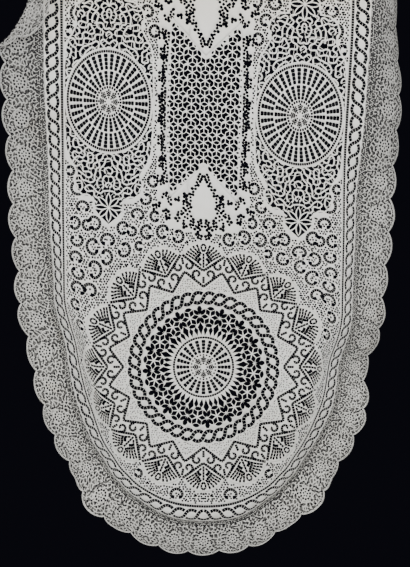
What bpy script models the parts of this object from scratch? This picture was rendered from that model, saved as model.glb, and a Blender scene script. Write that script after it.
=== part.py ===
"""A long oval lace tablecloth, hung by its top edge and seen face on.

The cloth is worked out flat, as a maker would lay it on a table: u runs across it and v along it,
from its middle. Every piece is then hung by one rule, which leans the rim back or forward, turns one
corner of the border over to the front, and puts the middle of the top edge at the origin.
The front of the cloth faces -Y. Lengths are in metres.
"""

import math

import bpy
import numpy as np
from mathutils import Vector, kdtree
from mathutils.geometry import delaunay_2d_cdt

# Driving dimensions of the cloth laid flat
FIELD_HALF_WIDTH = 0.56
FIELD_STRAIGHT = 0.72
FIELD_END = 0.848
END_POWER = 2.2
BRAID_WIDTH = 0.078
BORDER_WIDTH = 0.182
SCALLOPS = 66
SCALLOP_DEPTH = 0.027
SCALLOP_SHARPNESS = 0.7
CLOTH_THICKNESS = 0.0012
SEAM_GAP = 0.0004

# Inset pieces, in the field. A slot or gap is given by how far from its centre it starts and ends, and
# by its width; on a wheel the two distances are shares of the wheel's radius.
WHEEL_ACROSS = 0.380
WHEEL_HALF_WIDTH = 0.171
WHEEL_ALONG = 0.012
WHEEL_HALF_HEIGHT = 0.198
WHEEL_SLOTS = 30
WHEEL_OUTER_SLOT = (0.63, 0.92, 0.013)
WHEEL_INNER_SLOT = (0.32, 0.57, 0.010)
STAR_ALONG = 1.016
STAR_POINTS = 16
STAR_CUSP = 0.448
STAR_LOBE = 0.502
ROSE_RADIUS = 0.248
ROSE_TURN = math.radians(4)
ROSE_SLOTS = 28
ROSE_SLOT = (0.058, 0.098, 0.007)
ROSE_DIAMONDS = 16
ROSE_DIAMOND = (0.132, 0.182, 0.030)
PANEL_HALF_WIDTH = 0.152
PANEL_TAPER = 0.016
PANEL_LEG = 0.348
PANEL_NOTCH = 0.212
# The net's star has six spokes this long; a kite's start, end and width are shares of a spoke.
NET_CELL = 0.0345
NET_KITE = (0.20, 0.84, 0.36)

# How the cloth hangs
SKEW = 0.0725
FIELD_SKEW_FADE = (-0.85, -0.45)
RIM_SKEW_FADE = (-1.35, -0.85)
TOP_FORWARD = 0.07
TOP_ASIDE = 0.015
TOP_RISE = (-0.2, 0.5)
WAVE_HEIGHT = 0.004
WAVE_LENGTH = 0.9
RIPPLE_HEIGHT = 0.005
RIPPLE_SCALLOPS = 3.0
LEAN_START = -0.12
FLAP_CENTRE = (-1.070, 0.495)
FLAP_RADIUS = 0.400
FLAP_FOLD = 0.0045
FLAP_TURN = math.radians(158)

# The distances out from the field's edge where the lean is given, and the lean there, in degrees,
# back where positive. Scallops are counted along the hem from the middle of the foot, to the right.
LEAN_AT = (-0.12, -0.05, 0.035, 0.085, 0.125, 0.26)
LEAN = (
    # scallop, then the lean at each of the distances after the first
    (-33, 0, 0, 0, 0, 0),
    (-24, 0, 0, 0, 0, 0),
    (-18, 0, 0, 0, 0, 0),
    (-14, 0, 30, 20, 5, 10),
    (-11, 5, 45, 40, 5, 10),
    (-9, 45, 45, 35, 5, 10),
    (-7, 45, 40, 30, 15, 20),
    (-5, 25, 45, 45, 15, 20),
    (-4, 15, 35, 50, -15, -50),
    (-3, 5, 30, 50, -35, -80),
    (-1, 0, 5, 55, -55, -80),
    (1, 0, 5, 55, -55, -80),
    (3, 5, 35, 55, -40, -82),
    (4, 15, 40, 50, -20, -55),
    (5, 25, 45, 45, 15, 20),
    (7, 35, 40, 30, 15, 15),
    (9, 50, 45, 40, 35, 30),
    (11, 10, 45, 45, 25, 25),
    (14, 0, 40, 35, 10, 15),
    (17, 0, 5, 5, 15, 40),
    (20, 0, 0, 0, 35, 62),
    (24, 0, 0, 0, 0, 0),
    (33, 0, 0, 0, 0, 0),
)

HEM = BRAID_WIDTH + BORDER_WIDTH
STEPS_PER_SCALLOP = 60
LEAN_STEP = 0.004


def clear_scene():
    for item in list(bpy.data.objects):
        bpy.data.objects.remove(item, do_unlink=True)


def field_edge():
    """Points on the field's edge and their outward normals, evenly spaced along the hem.

    They start at the middle of the foot and go up the right side, SCALLOPS * STEPS_PER_SCALLOP of them.
    """
    turn = np.linspace(math.pi / 2, 0, 3001)
    across = FIELD_HALF_WIDTH * np.abs(np.cos(turn)) ** (2 / END_POWER)
    down = FIELD_END * np.abs(np.sin(turn)) ** (2 / END_POWER)
    foot = np.stack([across, -FIELD_STRAIGHT - down], 1)
    foot_out = np.stack(
        [
            (across / FIELD_HALF_WIDTH) ** (END_POWER - 1) / FIELD_HALF_WIDTH,
            -((down / FIELD_END) ** (END_POWER - 1)) / FIELD_END,
        ],
        1,
    )
    foot_out /= np.linalg.norm(foot_out, axis=1)[:, None]
    up_and_down = np.array([1, -1])
    side = np.array([[FIELD_HALF_WIDTH, 0.0]])
    side_out = np.array([[1.0, 0.0]])
    right = np.concatenate([foot, side, foot[::-1] * up_and_down])
    right_out = np.concatenate([foot_out, side_out, foot_out[::-1] * up_and_down])
    left = right[::-1] * -up_and_down
    left_out = right_out[::-1] * -up_and_down
    points = np.concatenate([right, left[1:]])
    outward = np.concatenate([right_out, left_out[1:]])
    hem = points + outward * HEM
    travelled = np.concatenate([[0], np.cumsum(np.linalg.norm(np.diff(hem, axis=0), axis=1))])
    count = SCALLOPS * STEPS_PER_SCALLOP
    at = np.arange(count) / count * travelled[-1]
    points = np.stack([np.interp(at, travelled, points[:, k]) for k in (0, 1)], 1)
    outward = np.stack([np.interp(at, travelled, outward[:, k]) for k in (0, 1)], 1)
    return points, outward / np.linalg.norm(outward, axis=1)[:, None]


EDGE, OUTWARD = field_edge()


def looped(table, scallop):
    """The rows of a table kept along the edge, read between its steps at each scallop number."""
    place = np.asarray(scallop, float) * STEPS_PER_SCALLOP
    low = np.floor(place).astype(int)
    part = (place - low).reshape((-1,) + (1,) * (table.ndim - 1))
    count = len(table)
    return table[low % count] * (1 - part) + table[(low + 1) % count] * part


def beside_edge(scallop, out):
    """Flat points at a scallop number and a distance out from the field's edge."""
    scallop, out = np.broadcast_arrays(np.asarray(scallop, float), np.asarray(out, float))
    return looped(EDGE, scallop) + looped(OUTWARD, scallop) * out[:, None]


def place_on_edge(flat):
    """The scallop number beside each flat point, and its distance out from the field's edge."""
    tree = kdtree.KDTree(len(EDGE))
    for index, point in enumerate(EDGE):
        tree.insert((point[0], point[1], 0), index)
    tree.balance()
    near = np.array([tree.find((u, v, 0))[1] for u, v in flat])
    along = np.roll(EDGE, -1, axis=0) - np.roll(EDGE, 1, axis=0)
    step = np.linalg.norm(along, axis=1) / 2
    along /= 2 * step[:, None]
    bend = np.linalg.norm(np.roll(OUTWARD, -1, axis=0) - np.roll(OUTWARD, 1, axis=0), axis=1) / (2 * step)
    rest = flat - EDGE[near]
    out = (rest * OUTWARD[near]).sum(1)
    slide = (rest * along[near]).sum(1) / (1 + bend[near] * out)
    scallop = (near + slide / step[near]) / STEPS_PER_SCALLOP
    out = ((flat - looped(EDGE, scallop)) * looped(OUTWARD, scallop)).sum(1)
    return scallop, out


def eased(x):
    x = np.clip(x, 0, 1)
    return x * x * (3 - 2 * x)


def risen(x, start, end):
    """From 0 at the start to 1 at the end, smoothly."""
    return eased((x - start) / (end - start))


def leaning_table():
    """How far out and how far back the cloth is, for steps along the edge and steps out from it."""
    rows = np.array(LEAN, float)
    scallop = np.arange(SCALLOPS * STEPS_PER_SCALLOP) / STEPS_PER_SCALLOP
    scallop = np.where(scallop > SCALLOPS / 2, scallop - SCALLOPS, scallop)
    row = np.clip(np.searchsorted(rows[:, 0], scallop, side="right") - 1, 0, len(rows) - 2)
    share = eased((scallop - rows[row, 0]) / (rows[row + 1, 0] - rows[row, 0]))[:, None]
    lean = rows[row, 1:] * (1 - share) + rows[row + 1, 1:] * share
    lean = np.concatenate([np.zeros((len(lean), 1)), lean], 1)
    out = np.arange(LEAN_START, HEM + 10 * LEAN_STEP, LEAN_STEP)
    knot = np.clip(np.searchsorted(LEAN_AT, out, side="right") - 1, 0, len(LEAN_AT) - 2)
    at = np.array(LEAN_AT)
    share = eased((out - at[knot]) / (at[knot + 1] - at[knot]))
    angle = np.radians(lean[:, knot] * (1 - share) + lean[:, knot + 1] * share)
    middle = (angle[:, 1:] + angle[:, :-1]) / 2
    start = np.zeros((len(angle), 1))
    reach = LEAN_START + np.concatenate([start, np.cumsum(np.cos(middle), 1) * LEAN_STEP], 1)
    depth = np.concatenate([start, np.cumsum(np.sin(middle), 1) * LEAN_STEP], 1)
    return reach, depth


REACH, DEPTH = leaning_table()


def leaned(scallop, out):
    """How far out from the field's edge the hung cloth reaches, and how far back, at each place."""
    step = np.clip((out - LEAN_START) / LEAN_STEP, 0, REACH.shape[1] - 1.001)
    low = step.astype(int)
    part = step - low
    rows = np.arange(len(low))
    found = []
    for table in (REACH, DEPTH):
        beside = looped(table, scallop)
        found.append(beside[rows, low] * (1 - part) + beside[rows, low + 1] * part)
    return found


def hung_flat(flat):
    """Flat points on the hanging cloth, with no corner turned over."""
    scallop, out = place_on_edge(flat)
    reach, depth = leaned(scallop, out)
    near_edge = out > LEAN_START
    shift = np.where(near_edge, reach - out, 0)[:, None] * looped(OUTWARD, scallop)
    u, v = (flat + shift).T
    at_top = risen(flat[:, 1], *TOP_RISE)
    in_rim = risen(out, LEAN_START, 0)
    skew = risen(flat[:, 1], *FIELD_SKEW_FADE) * (1 - in_rim) + risen(flat[:, 1], *RIM_SKEW_FADE) * in_rim
    wave = WAVE_HEIGHT * np.sin(2 * math.pi * (flat[:, 0] + 0.3 * flat[:, 1]) / WAVE_LENGTH)
    ripple = RIPPLE_HEIGHT * np.sin(2 * math.pi * scallop / RIPPLE_SCALLOPS) * risen(out, 0, HEM)
    back = np.where(near_edge, depth, 0) - TOP_FORWARD * at_top + wave + ripple
    return np.stack([u + TOP_ASIDE * at_top, back, v - SKEW * skew * u], 1)


TOP_MIDDLE = hung_flat(np.array([[0.0, FIELD_STRAIGHT + FIELD_END + HEM]]))[0]


def turned_over(flat):
    """Flat points after the corner of the border is turned over, and how far each stands forward."""
    away = flat - FLAP_CENTRE
    far = np.linalg.norm(away, axis=1)
    beyond = np.maximum(FLAP_RADIUS - far, 0)
    bent = np.minimum(beyond, FLAP_FOLD * FLAP_TURN)
    straight = beyond - bent
    inward = FLAP_FOLD * np.sin(bent / FLAP_FOLD) + straight * math.cos(FLAP_TURN)
    lift = FLAP_FOLD * (1 - np.cos(bent / FLAP_FOLD)) + straight * math.sin(FLAP_TURN)
    moved = FLAP_CENTRE + away * ((FLAP_RADIUS - inward) / far)[:, None]
    return np.where(beyond[:, None] > 0, moved, flat), lift


def hang(flat, turn_corner=False):
    """Flat points (u, v) on the hung cloth, as (x, y, z)."""
    flat = np.asarray(flat, float)
    lift = np.zeros(len(flat))
    if turn_corner:
        flat, lift = turned_over(flat)
    points = hung_flat(flat) - TOP_MIDDLE
    points[:, 1] -= lift
    return points


def filled(loops, inside):
    """Flat triangles that fill the first loop, leaving the other loops open, through the points inside."""
    rims = np.concatenate(loops)
    inside = np.asarray(inside, float).reshape(-1, 2)
    points = [Vector(point) for point in np.concatenate([rims, inside])]
    faces = []
    first = 0
    for loop in loops:
        faces.append(list(range(first, first + len(loop))))
        first += len(loop)
    inside_constraints = 1
    verts, _, triangles, _, _, inside_of = delaunay_2d_cdt(points, [], faces, inside_constraints, 1e-7)
    kept = [triangle for triangle, loop in zip(triangles, inside_of) if list(loop) == [0]]
    return np.array(verts), kept


def clear_of(points, loops, gap):
    """The points that lie at least the gap from every loop's points."""
    rims = np.concatenate(loops)
    far = np.linalg.norm(points[:, None] - rims[None], axis=2).min(1)
    return points[far > gap]


def linen(name, colour, roughness):
    material = bpy.data.materials.new(name)
    material.use_nodes = True
    surface = material.node_tree.nodes["Principled BSDF"]
    surface.inputs["Base Color"].default_value = (*colour, 1)
    surface.inputs["Roughness"].default_value = roughness
    surface.inputs["Metallic"].default_value = 0
    return material


def cloth_piece(name, loops, inside, colour, turn_corner=False):
    """One piece of the cloth: cut flat, hung, and given its thickness."""
    flat, triangles = filled(loops, inside)
    hung = hang(flat, turn_corner)
    mesh = bpy.data.meshes.new(name)
    mesh.from_pydata([tuple(point) for point in hung], [], [tuple(triangle) for triangle in triangles])
    mesh.update()
    mesh.materials.append(linen(name, colour, 0.9))
    mesh.shade_smooth()
    piece = bpy.data.objects.new(name, mesh)
    bpy.context.collection.objects.link(piece)
    thickness = piece.modifiers.new("thickness", "SOLIDIFY")
    thickness.thickness = CLOTH_THICKNESS
    thickness.offset = 0
    return piece


def ring(out, per_scallop):
    """A loop of flat points round the cloth, at one distance out from the field's edge."""
    scallop = np.arange(SCALLOPS * per_scallop) / per_scallop
    return beside_edge(scallop, out)


def hem_line(per_scallop):
    scallop = np.arange(SCALLOPS * per_scallop) / per_scallop
    lobe = np.abs(np.cos(math.pi * scallop)) ** SCALLOP_SHARPNESS
    return beside_edge(scallop, HEM - SCALLOP_DEPTH * (1 - lobe))


def oval(centre, half_width, half_height, count):
    angle = np.arange(count) / count * 2 * math.pi
    return centre + np.stack([half_width * np.cos(angle), half_height * np.sin(angle)], 1)


def grown(loop, gap):
    """An anticlockwise loop with every side moved outward by the gap, or inward where it is negative."""
    sides = np.roll(loop, -1, axis=0) - loop
    sides /= np.linalg.norm(sides, axis=1)[:, None]
    out = np.stack([sides[:, 1], -sides[:, 0]], 1)
    before = np.roll(out, 1, axis=0)
    return loop + (out + before) * gap / (1 + (out * before).sum(1))[:, None]


def radial_cut(centre, angle, inner, outer, width, pointed=False):
    """A gap that points away from a centre: a slot with square ends, or a diamond."""
    along = np.array([math.cos(angle), math.sin(angle)])
    across = np.array([-along[1], along[0]]) * width / 2
    start, end = along * inner, along * outer
    if pointed:
        middle = (start + end) / 2
        return centre + np.array([start, middle - across, end, middle + across])
    return centre + np.array([start - across, end - across, end + across, start + across])


def wheel_outline(centre):
    return oval(centre, WHEEL_HALF_WIDTH, WHEEL_HALF_HEIGHT, 24)


def rose_outline(centre):
    return oval(centre, ROSE_RADIUS, ROSE_RADIUS, 24)


def star_outline(centre, per_lobe=4):
    angle = np.arange(STAR_POINTS * per_lobe) / (STAR_POINTS * per_lobe) * 2 * math.pi
    lobe = np.abs(np.cos(angle * STAR_POINTS / 2)) ** SCALLOP_SHARPNESS
    radius = STAR_CUSP + (STAR_LOBE - STAR_CUSP) * lobe
    return centre + np.stack([radius * np.cos(angle), radius * np.sin(angle)], 1)


def panel_outline():
    """The net panel: a tall oblong with a notch in each end for the plain linen drop."""
    leg_width = PANEL_HALF_WIDTH - PANEL_TAPER
    quarter = [
        (PANEL_HALF_WIDTH, 0),
        (PANEL_HALF_WIDTH - PANEL_TAPER / 4, PANEL_LEG / 2),
        (leg_width, PANEL_LEG),
        (leg_width / 2, (PANEL_LEG + PANEL_NOTCH) / 2),
    ]
    top = quarter + [(0, PANEL_NOTCH)] + [(-u, v) for u, v in reversed(quarter)]
    return np.array(top + [(-u, -v) for u, v in top[1:-1]])


def wheel_centre(side):
    return np.array([side * WHEEL_ACROSS, WHEEL_ALONG])


def star_centre(end):
    return np.array([0.0, end * STAR_ALONG])


def make_border():
    loops = [hem_line(4), ring(BRAID_WIDTH + SEAM_GAP / 2, 2)]
    rows = [ring(out, 2) for out in (0.122, 0.175)]
    angle = np.linspace(-1.0, 1.0, 17)
    for inset in (-0.004, 0.0, 0.004, 0.010):
        crease = FLAP_CENTRE + (FLAP_RADIUS - inset) * np.stack([np.cos(angle), np.sin(angle)], 1)
        out = place_on_edge(crease)[1]
        rows.append(crease[(out > BRAID_WIDTH + 0.01) & (out < HEM - SCALLOP_DEPTH - 0.004)])
    inside = np.concatenate(rows)
    cloth_piece("border", loops, inside, (0.60, 0.58, 0.53), turn_corner=True)


def make_braid_band():
    loops = [ring(BRAID_WIDTH - SEAM_GAP / 2, 2), ring(SEAM_GAP / 2, 2)]
    cloth_piece("braid_band", loops, ring(BRAID_WIDTH / 2, 2), (0.70, 0.69, 0.65))


def make_field():
    insets = [panel_outline()]
    for side in (-1, 1):
        insets += [wheel_outline(wheel_centre(side)), star_outline(star_centre(side))]
    loops = [ring(-SEAM_GAP / 2, 2)] + [grown(inset, SEAM_GAP / 2) for inset in insets]
    rows = [ring(out, 1) for out in (-0.05, -0.11)]
    step = 0.085
    u, v = np.meshgrid(np.arange(-6, 7) * step, np.arange(-18, 19) * step)
    grid = np.stack([u.ravel(), v.ravel()], 1)
    grid = grid[place_on_edge(grid)[1] < -0.15]
    inside = np.concatenate(rows + [grid])
    inside = clear_of(inside, loops, 0.03)
    wheel_reach = (WHEEL_HALF_WIDTH, WHEEL_HALF_HEIGHT)
    star_reach = (STAR_CUSP, STAR_CUSP)
    for side in (-1, 1):
        for centre, reach in ((wheel_centre(side), wheel_reach), (star_centre(side), star_reach)):
            inside = inside[np.linalg.norm((inside - centre) / reach, axis=1) > 1]
    cloth_piece("field", loops, inside, (0.72, 0.71, 0.67))


def make_wheel(name, side):
    centre = wheel_centre(side)
    size = np.array([WHEEL_HALF_WIDTH, WHEEL_HALF_HEIGHT])
    loops = [grown(wheel_outline(centre), -SEAM_GAP / 2)]
    for inner, outer, width in (WHEEL_OUTER_SLOT, WHEEL_INNER_SLOT):
        for index in range(WHEEL_SLOTS):
            angle = (index + 0.5) / WHEEL_SLOTS * 2 * math.pi
            slot = radial_cut((0, 0), angle, inner, outer, width / WHEEL_HALF_HEIGHT)
            loops.append(centre + slot * size)
    inside = oval(centre, *(size * 0.615), 15)
    cloth_piece(name, loops, np.concatenate([inside, [centre]]), (0.70, 0.69, 0.65))


def make_star(name, end):
    centre = star_centre(end)
    loops = [grown(star_outline(centre), -SEAM_GAP / 2), grown(rose_outline(centre), SEAM_GAP / 2)]
    inside = np.concatenate([oval(centre, radius, radius, 24) for radius in (0.315, 0.390)])
    cloth_piece(name, loops, inside, (0.71, 0.70, 0.66))


def make_rose(name, end):
    centre = star_centre(end)
    loops = [grown(rose_outline(centre), -SEAM_GAP / 2)]
    for index in range(ROSE_SLOTS):
        loops.append(radial_cut(centre, ROSE_TURN + index / ROSE_SLOTS * 2 * math.pi, *ROSE_SLOT))
    for index in range(ROSE_DIAMONDS):
        angle = ROSE_TURN + index / ROSE_DIAMONDS * 2 * math.pi
        loops.append(radial_cut(centre, angle, *ROSE_DIAMOND, pointed=True))
    inside = np.concatenate([[centre], oval(centre, 0.115, 0.115, 16)])
    cloth_piece(name, loops, inside, (0.68, 0.67, 0.63))


def inside_panel(points, margin):
    """True where every point is inside the net panel by the margin."""
    u, v = np.abs(points).T
    slope = (PANEL_LEG - PANEL_NOTCH) / (PANEL_HALF_WIDTH - 0.016)
    end = PANEL_NOTCH + u * slope - margin * math.hypot(1, slope)
    return bool(((u < PANEL_HALF_WIDTH - 0.012 - margin) & (v < end) & (v < PANEL_LEG - margin)).all())


def make_net_panel():
    """The net of six-spoked stars, cut at twice the pitch of the real one."""
    cell = 2 * NET_CELL
    inner, outer, width = (share * cell for share in NET_KITE)
    loops = [grown(panel_outline(), -SEAM_GAP / 2)]
    for column in range(-3, 4):
        for row in range(-5, 6):
            centre = np.array([column * 1.5, (row + column % 2 / 2) * math.sqrt(3)]) * cell
            for spoke in range(6):
                kite = radial_cut(centre, spoke * math.pi / 3, inner, outer, width, pointed=True)
                if inside_panel(kite, 0.006):
                    loops.append(kite)
    cloth_piece("net_panel", loops, [], (0.66, 0.65, 0.61))


def make_cloth():
    clear_scene()
    make_field()
    make_braid_band()
    make_border()
    make_net_panel()
    for name, side in (("left", -1), ("right", 1)):
        make_wheel("wheel_" + name, side)
    for name, end in (("lower", -1), ("upper", 1)):
        make_star("star_" + name, end)
        make_rose("rose_" + name, end)


make_cloth()
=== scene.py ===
# %% [markdown]
# # A long oval lace tablecloth, hung by its top edge
# The real cloth is linen cutwork: a plain ground full of small worked holes, with inset wheels, net,
# round medallions and a sheer scalloped border sewn to it. We draw each piece flat, as a lace maker
# pricks a pattern, cut its holes, and hang all of them by one rule. That way every motif stays true
# to its size, and the folds come from the hanging alone.

# %% Load the frame
import math

import bmesh
import bpy
import numpy as np
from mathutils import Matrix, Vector, kdtree
from mathutils.geometry import delaunay_2d_cdt


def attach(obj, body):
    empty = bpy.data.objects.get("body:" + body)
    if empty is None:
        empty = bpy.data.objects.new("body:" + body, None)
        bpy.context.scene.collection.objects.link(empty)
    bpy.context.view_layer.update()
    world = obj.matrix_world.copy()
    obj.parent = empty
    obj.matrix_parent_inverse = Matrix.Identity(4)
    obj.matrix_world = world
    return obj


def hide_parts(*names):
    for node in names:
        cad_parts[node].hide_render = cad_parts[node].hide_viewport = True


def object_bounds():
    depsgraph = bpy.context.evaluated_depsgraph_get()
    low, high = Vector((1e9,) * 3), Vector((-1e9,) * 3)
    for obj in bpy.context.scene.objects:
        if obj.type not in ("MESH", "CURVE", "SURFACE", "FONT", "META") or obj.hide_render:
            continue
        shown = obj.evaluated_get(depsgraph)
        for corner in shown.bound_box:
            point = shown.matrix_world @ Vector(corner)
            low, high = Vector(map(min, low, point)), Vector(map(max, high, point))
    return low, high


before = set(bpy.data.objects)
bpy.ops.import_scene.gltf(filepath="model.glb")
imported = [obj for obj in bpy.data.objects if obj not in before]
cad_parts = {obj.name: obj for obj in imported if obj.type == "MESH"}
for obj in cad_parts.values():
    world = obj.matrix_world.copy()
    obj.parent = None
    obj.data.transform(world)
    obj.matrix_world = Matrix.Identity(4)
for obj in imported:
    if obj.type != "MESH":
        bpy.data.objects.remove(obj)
CAD_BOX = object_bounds()
print("nodes:", ", ".join(sorted(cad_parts)))

# %% [markdown]
# ## Sizes
# These are the sizes of the solids, in metres, so each lace piece lands on its solid. Patterns are
# charted in squares of 4 mm, counted from the middle of the cloth or of a motif.

# %% The sizes of the cloth
SQUARE = 0.004
FIELD_HALF_WIDTH = 0.56
FIELD_STRAIGHT = 0.72
FIELD_END = 0.848
END_POWER = 2.2
BRAID_WIDTH = 0.078
BORDER_WIDTH = 0.182
SCALLOPS = 66
SCALLOP_DEPTH = 0.027
SCALLOP_SHARPNESS = 0.7
SEAM_GAP = 0.0004
WHEEL_ACROSS = 0.380
WHEEL_HALF_WIDTH = 0.171
WHEEL_ALONG = 0.012
WHEEL_HALF_HEIGHT = 0.198
WHEEL_SLOTS = (38, 26)
STAR_ALONG = 1.016
STAR_POINTS = 16
STAR_CUSP = 0.448
STAR_LOBE = 0.502
ROSE_RADIUS = 0.248
ROSE_TURN = math.radians(4)
ROSE_SLOTS = 24
PANEL_HALF_WIDTH = 0.152
PANEL_TAPER = 0.016
PANEL_LEG = 0.348
PANEL_NOTCH = 0.212
NET_CELL = 0.0345

# %% Angles, directions and grids of points


def facing(angle):
    return np.stack([np.cos(angle), np.sin(angle)], -1)


def crossing(along):
    return np.stack([-along[..., 1], along[..., 0]], -1)


def around(count, turn=0.0):
    """Evenly spaced angles, once round."""
    return turn + np.arange(count) / count * 2 * math.pi


def lattice(across, along):
    """Every pairing of the two rows of numbers, as points."""
    u, v = np.meshgrid(across, along)
    return np.stack([u.ravel(), v.ravel()], 1)


def lobed(half_turns):
    """How far out a scalloped line stands, from 0 in a notch to 1 on a lobe."""
    return np.abs(np.cos(half_turns)) ** SCALLOP_SHARPNESS


# %% [markdown]
# ## How the cloth hangs
# A flat cloth bends without stretching. Near the rim we give its lean, back or forward, at a few
# distances out from the field's edge and at a few scallops, and walk outwards along that slope.
# The whole hem then gets its deep and shallow folds from one short table.

# %% The table of folds
SKEW = 0.0725
FIELD_SKEW_FADE = (-0.85, -0.45)
RIM_SKEW_FADE = (-1.35, -0.85)
TOP_FORWARD = 0.07
TOP_ASIDE = 0.015
TOP_RISE = (-0.2, 0.5)
WAVE_HEIGHT = 0.004
WAVE_LENGTH = 0.9
RIPPLE_HEIGHT = 0.005
RIPPLE_SCALLOPS = 3.0
LEAN_START = -0.12
FLAP_CENTRE = (-1.070, 0.495)
FLAP_RADIUS = 0.400
FLAP_FOLD = 0.0045
FLAP_TURN = math.radians(158)
LEAN_AT = (-0.12, -0.05, 0.035, 0.085, 0.125, 0.26)
LEAN = (
    # scallop from the middle of the foot, then degrees of lean at each distance after the first
    (-33, 0, 0, 0, 0, 0),
    (-24, 0, 0, 0, 0, 0),
    (-18, 0, 0, 0, 0, 0),
    (-14, 0, 30, 20, 5, 10),
    (-11, 5, 45, 40, 5, 10),
    (-9, 45, 45, 35, 5, 10),
    (-7, 45, 40, 30, 15, 20),
    (-5, 25, 45, 45, 15, 20),
    (-4, 15, 35, 50, -15, -50),
    (-3, 5, 30, 50, -35, -80),
    (-1, 0, 5, 55, -55, -80),
    (1, 0, 5, 55, -55, -80),
    (3, 5, 35, 55, -40, -82),
    (4, 15, 40, 50, -20, -55),
    (5, 25, 45, 45, 15, 20),
    (7, 35, 40, 30, 15, 15),
    (9, 50, 45, 40, 35, 30),
    (11, 10, 45, 45, 25, 25),
    (14, 0, 40, 35, 10, 15),
    (17, 0, 5, 5, 15, 40),
    (20, 0, 0, 0, 35, 62),
    (24, 0, 0, 0, 0, 0),
    (33, 0, 0, 0, 0, 0),
)
HEM = BRAID_WIDTH + BORDER_WIDTH
STEPS_PER_SCALLOP = 60
LEAN_STEP = 0.004

# %% The field's edge, as evenly spaced points and the way out from them


def field_edge():
    turn = np.linspace(math.pi / 2, 0, 3001)
    across = FIELD_HALF_WIDTH * np.abs(np.cos(turn)) ** (2 / END_POWER)
    down = FIELD_END * np.abs(np.sin(turn)) ** (2 / END_POWER)
    foot = np.stack([across, -FIELD_STRAIGHT - down], 1)
    out_across = (across / FIELD_HALF_WIDTH) ** (END_POWER - 1) / FIELD_HALF_WIDTH
    out_down = -((down / FIELD_END) ** (END_POWER - 1)) / FIELD_END
    foot_out = np.stack([out_across, out_down], 1)
    foot_out /= np.linalg.norm(foot_out, axis=1)[:, None]
    up_and_down = np.array([1, -1])
    side = np.array([[FIELD_HALF_WIDTH, 0.0]])
    right = np.concatenate([foot, side, foot[::-1] * up_and_down])
    right_out = np.concatenate([foot_out, [[1.0, 0.0]], foot_out[::-1] * up_and_down])
    points = np.concatenate([right, right[::-1][1:] * -up_and_down])
    outward = np.concatenate([right_out, right_out[::-1][1:] * -up_and_down])
    hem = points + outward * HEM
    travelled = np.concatenate([[0], np.cumsum(np.linalg.norm(np.diff(hem, axis=0), axis=1))])
    count = SCALLOPS * STEPS_PER_SCALLOP
    at = np.arange(count) / count * travelled[-1]
    points = np.stack([np.interp(at, travelled, points[:, k]) for k in (0, 1)], 1)
    outward = np.stack([np.interp(at, travelled, outward[:, k]) for k in (0, 1)], 1)
    return points, outward / np.linalg.norm(outward, axis=1)[:, None]


EDGE, OUTWARD = field_edge()
print("hem length:", round(float(np.linalg.norm(np.diff(EDGE + OUTWARD * HEM, axis=0), axis=1).sum()), 3))

# %% Places beside the edge


def looped(table, scallop):
    place = np.asarray(scallop, float) * STEPS_PER_SCALLOP
    low = np.floor(place).astype(int)
    part = (place - low).reshape((-1,) + (1,) * (table.ndim - 1))
    count = len(table)
    return table[low % count] * (1 - part) + table[(low + 1) % count] * part


def beside_edge(scallop, out):
    scallop, out = np.broadcast_arrays(np.asarray(scallop, float), np.asarray(out, float))
    return looped(EDGE, scallop) + looped(OUTWARD, scallop) * out[:, None]


EDGE_TREE = kdtree.KDTree(len(EDGE))
for index, point in enumerate(EDGE):
    EDGE_TREE.insert((point[0], point[1], 0), index)
EDGE_TREE.balance()
EDGE_ALONG = np.roll(EDGE, -1, axis=0) - np.roll(EDGE, 1, axis=0)
EDGE_STEP = np.linalg.norm(EDGE_ALONG, axis=1) / 2
EDGE_ALONG /= 2 * EDGE_STEP[:, None]
EDGE_BEND = np.linalg.norm(np.roll(OUTWARD, -1, axis=0) - np.roll(OUTWARD, 1, axis=0), axis=1) / (2 * EDGE_STEP)


def place_on_edge(flat):
    near = np.array([EDGE_TREE.find((u, v, 0))[1] for u, v in flat])
    rest = flat - EDGE[near]
    out = (rest * OUTWARD[near]).sum(1)
    slide = (rest * EDGE_ALONG[near]).sum(1) / (1 + EDGE_BEND[near] * out)
    scallop = (near + slide / EDGE_STEP[near]) / STEPS_PER_SCALLOP
    out = ((flat - looped(EDGE, scallop)) * looped(OUTWARD, scallop)).sum(1)
    return scallop, out


# %% The lean of the rim, walked outwards


def eased(x):
    x = np.clip(x, 0, 1)
    return x * x * (3 - 2 * x)


def risen(x, start, end):
    return eased((x - start) / (end - start))


def leaning_table():
    rows = np.array(LEAN, float)
    scallop = np.arange(SCALLOPS * STEPS_PER_SCALLOP) / STEPS_PER_SCALLOP
    scallop = np.where(scallop > SCALLOPS / 2, scallop - SCALLOPS, scallop)
    row = np.clip(np.searchsorted(rows[:, 0], scallop, side="right") - 1, 0, len(rows) - 2)
    share = eased((scallop - rows[row, 0]) / (rows[row + 1, 0] - rows[row, 0]))[:, None]
    lean = rows[row, 1:] * (1 - share) + rows[row + 1, 1:] * share
    lean = np.concatenate([np.zeros((len(lean), 1)), lean], 1)
    out = np.arange(LEAN_START, HEM + 10 * LEAN_STEP, LEAN_STEP)
    knot = np.clip(np.searchsorted(LEAN_AT, out, side="right") - 1, 0, len(LEAN_AT) - 2)
    at = np.array(LEAN_AT)
    share = eased((out - at[knot]) / (at[knot + 1] - at[knot]))
    angle = np.radians(lean[:, knot] * (1 - share) + lean[:, knot + 1] * share)
    middle = (angle[:, 1:] + angle[:, :-1]) / 2
    start = np.zeros((len(angle), 1))
    reach = LEAN_START + np.concatenate([start, np.cumsum(np.cos(middle), 1) * LEAN_STEP], 1)
    depth = np.concatenate([start, np.cumsum(np.sin(middle), 1) * LEAN_STEP], 1)
    return reach, depth


REACH, DEPTH = leaning_table()


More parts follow.
